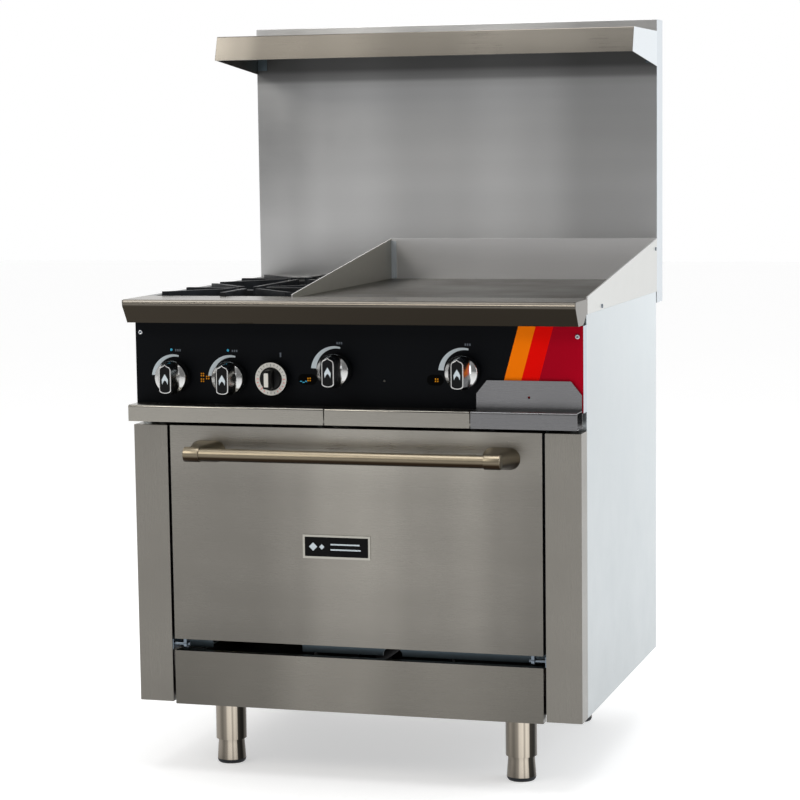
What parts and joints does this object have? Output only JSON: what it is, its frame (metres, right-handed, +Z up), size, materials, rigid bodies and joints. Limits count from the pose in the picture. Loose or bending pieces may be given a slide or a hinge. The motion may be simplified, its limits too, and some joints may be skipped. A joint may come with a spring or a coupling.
{
  "type": "commercial gas range",
  "caption": "Stainless gas range with open burners beside a griddle, a drop-front oven, slide-out trays, turning knobs, adjustable feet, and a backguard with a high shelf.",
  "frame": {"origin": "on the floor under the middle of the bounding box", "axes": "+Z up, +X to the right as seen from the front, the front faces -Y"},
  "size_m": [0.918, 0.917, 1.516],
  "materials": {
    "stainless_side": "brushed",
    "galvanised": "dull mill finish",
    "black_paint": "baked paint",
    "frame_steel": "plain, blue-grey",
    "stainless_front": "brushed",
    "stainless_top": "brushed, polished nose",
    "stainless_back": "brushed",
    "leg_metal": "polished",
    "oven_enamel": "vitreous enamel",
    "insulation": "mineral wool",
    "chrome_wire": "plated",
    "burner_steel": "plain steel",
    "gasket": "woven rope",
    "hinge_steel": "zinc plated",
    "badge": "gloss with a bright border",
    "handle_metal": "polished brushed",
    "panel_black": "satin film",
    "gas_pipe": "black pipe",
    "valve_brass": "machined",
    "knob_chrome": "plated",
    "dial": "moulded, pale ring",
    "cast_iron": "seasoned",
    "griddle_steel": "ground plate"
  },
  "bodies": {
    "range": {"side_panel_left": "stainless_side", "side_panel_right": "stainless_side", "back_panel": "galvanised", "base_frame": "black_paint", "stile_left": "stainless_front", "stile_right": "stainless_front", "kick_panel": "stainless_front", "leg_tubes": "leg_metal", "oven_front_frame": "frame_steel", "oven_liner": "oven_enamel", "oven_deck": "oven_enamel", "oven_insulation": "insulation", "oven_top_cover": "galvanised", "rack_guides": "chrome_wire", "oven_burner": "burner_steel", "flame_spreader": "burner_steel", "door_gasket": "gasket", "door_hinge_brackets": "hinge_steel", "control_panel": "panel_black", "gas_manifold": "gas_pipe", "gas_inlet": "gas_pipe", "gas_valves": "valve_brass", "oven_thermostat": "valve_brass", "case_screws": "hinge_steel", "bullnose_rail": "stainless_top", "cooktop_frame": "galvanised", "open_burner_tubes": "burner_steel", "open_burner_heads": "cast_iron", "griddle_plate": "griddle_steel", "griddle_splash": "stainless_back", "griddle_burners": "burner_steel", "grease_chute": "burner_steel", "backguard_front": "stainless_back", "backguard_back": "galvanised", "flue_duct": "galvanised", "high_shelf": "stainless_back", "shelf_brackets": "galvanised"},
    "door": {"door_outer_panel": "stainless_front", "door_inner_panel": "oven_enamel", "door_insulation": "insulation", "door_badge": "badge", "door_hinge_arms": "hinge_steel", "handle_bar": "handle_metal", "handle_brackets": "handle_metal"},
    "rack_lower": {"oven_rack_lower": "chrome_wire"},
    "rack_upper": {"oven_rack_upper": "chrome_wire"},
    "knob_burner_front": {"burner_knob_front": "knob_chrome"},
    "knob_burner_rear": {"burner_knob_rear": "knob_chrome"},
    "knob_griddle_left": {"griddle_knob_left": "knob_chrome"},
    "knob_griddle_right": {"griddle_knob_right": "knob_chrome"},
    "dial": {"thermostat_dial": "dial"},
    "tray_crumb": {"crumb_tray": "stainless_front"},
    "tray_griddle": {"griddle_tray": "stainless_front"},
    "drawer_grease": {"grease_drawer": "stainless_front"},
    "grate_a": {"grate_front": "cast_iron"},
    "grate_b": {"grate_rear": "cast_iron"},
    "foot_fl": {"foot_front_left": "leg_metal"},
    "foot_fr": {"foot_front_right": "leg_metal"},
    "foot_rl": {"foot_rear_left": "leg_metal"},
    "foot_rr": {"foot_rear_right": "leg_metal"}
  },
  "joints": [
    {"name": "door_swing", "type": "hinge", "parent": "range", "child": "door", "pos_m": [0, -0.3575, 0.264], "axis": [1, 0, 0], "range_deg": [0, 90]},
    {"name": "rack_lower_slide", "type": "slide", "parent": "range", "child": "rack_lower", "axis": [0, -1, 0], "range_m": [0, 0.24]},
    {"name": "rack_upper_slide", "type": "slide", "parent": "range", "child": "rack_upper", "axis": [0, -1, 0], "range_m": [0, 0.36]},
    {"name": "front_burner_turn", "type": "hinge", "parent": "range", "child": "knob_burner_front", "pos_m": [-0.373, -0.3675, 0.803], "axis": [0, -1, 0], "range_deg": [0, 90]},
    {"name": "rear_burner_turn", "type": "hinge", "parent": "range", "child": "knob_burner_rear", "pos_m": [-0.253, -0.3675, 0.803], "axis": [0, -1, 0], "range_deg": [0, 90]},
    {"name": "griddle_left_turn", "type": "hinge", "parent": "range", "child": "knob_griddle_left", "pos_m": [-0.035, -0.3675, 0.821], "axis": [0, -1, 0], "range_deg": [0, 90]},
    {"name": "griddle_right_turn", "type": "hinge", "parent": "range", "child": "knob_griddle_right", "pos_m": [0.224, -0.3675, 0.821], "axis": [0, -1, 0], "range_deg": [0, 90]},
    {"name": "thermostat_turn", "type": "hinge", "parent": "range", "child": "dial", "pos_m": [-0.165, -0.3675, 0.803], "axis": [0, -1, 0], "range_deg": [0, 300]},
    {"name": "crumb_tray_slide", "type": "slide", "parent": "range", "child": "tray_crumb", "axis": [0, -1, 0], "range_m": [0, 0.45]},
    {"name": "griddle_tray_slide", "type": "slide", "parent": "range", "child": "tray_griddle", "axis": [0, -1, 0], "range_m": [0, 0.45]},
    {"name": "grease_drawer_slide", "type": "slide", "parent": "range", "child": "drawer_grease", "axis": [0, -1, 0], "range_m": [0, 0.3]},
    {"name": "grate_front_lift", "type": "slide", "parent": "range", "child": "grate_a", "axis": [0, 0, 1], "range_m": [0, 0.15]},
    {"name": "grate_rear_lift", "type": "slide", "parent": "range", "child": "grate_b", "axis": [0, 0, 1], "range_m": [0, 0.15]},
    {"name": "foot_fl_extend", "type": "slide", "parent": "range", "child": "foot_fl", "axis": [0, 0, -1], "range_m": [0, 0.025]},
    {"name": "foot_fr_extend", "type": "slide", "parent": "range", "child": "foot_fr", "axis": [0, 0, -1], "range_m": [0, 0.025]},
    {"name": "foot_rl_extend", "type": "slide", "parent": "range", "child": "foot_rl", "axis": [0, 0, -1], "range_m": [0, 0.025]},
    {"name": "foot_rr_extend", "type": "slide", "parent": "range", "child": "foot_rr", "axis": [0, 0, -1], "range_m": [0, 0.025]}
  ],
  "couplings": [
    {"joint": "rack_lower_slide", "follows": "door_swing", "m_per_rad": 0.15264},
    {"joint": "rack_upper_slide", "follows": "door_swing", "m_per_rad": 0.22895}
  ]
}
